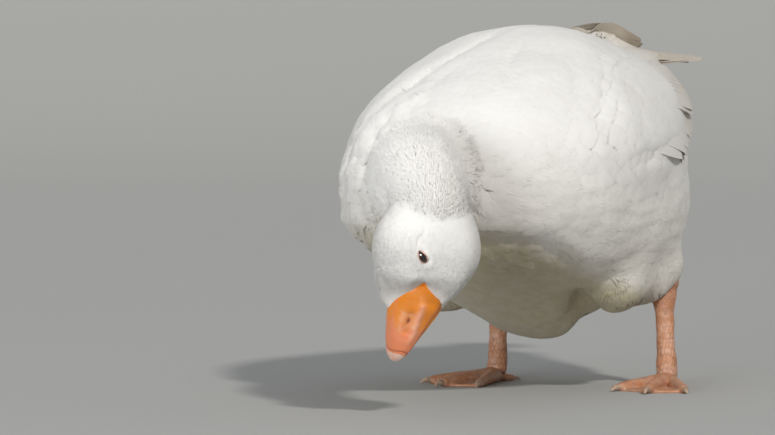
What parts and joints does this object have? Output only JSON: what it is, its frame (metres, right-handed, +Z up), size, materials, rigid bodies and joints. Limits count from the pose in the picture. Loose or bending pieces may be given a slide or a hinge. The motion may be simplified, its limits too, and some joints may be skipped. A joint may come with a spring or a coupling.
{
  "type": "domestic goose",
  "caption": "Life-size model of a white domestic goose standing on both feet with its neck bent down and bill near the ground, as when grazing.",
  "frame": {"origin": "on the floor under the middle of the overall box", "axes": "+Z up; the goose faces -Y and its left side is +X"},
  "size_m": [0.3226, 0.7738, 0.3522],
  "materials": {
    "plumage": "soft white feathers, matte",
    "quills": "cream-white tail feathers, matte",
    "bill": "orange horn, satin",
    "bill_nail": "pinkish-white horn, satin",
    "leg_skin": "scaled orange skin, satin",
    "claw": "pale horn, satin",
    "eye": "dark brown, wet gloss"
  },
  "bodies": {
    "root": {"trunk": "plumage", "neck_lower": "plumage", "neck_middle": "plumage", "neck_upper": "plumage", "head": "plumage", "tail": "quills", "bill_upper": "bill", "bill_nail": "bill_nail", "bill_lower": "bill", "wing_left": "plumage", "eye_left": "eye", "thigh_left": "plumage", "shank_left": "leg_skin", "foot_left": "leg_skin", "claw_inner_left": "claw", "claw_middle_left": "claw", "claw_outer_left": "claw", "claw_hind_left": "claw", "wing_right": "plumage", "eye_right": "eye", "thigh_right": "plumage", "shank_right": "leg_skin", "foot_right": "leg_skin", "claw_inner_right": "claw", "claw_middle_right": "claw", "claw_outer_right": "claw", "claw_hind_right": "claw"}
  },
  "joints": []
}
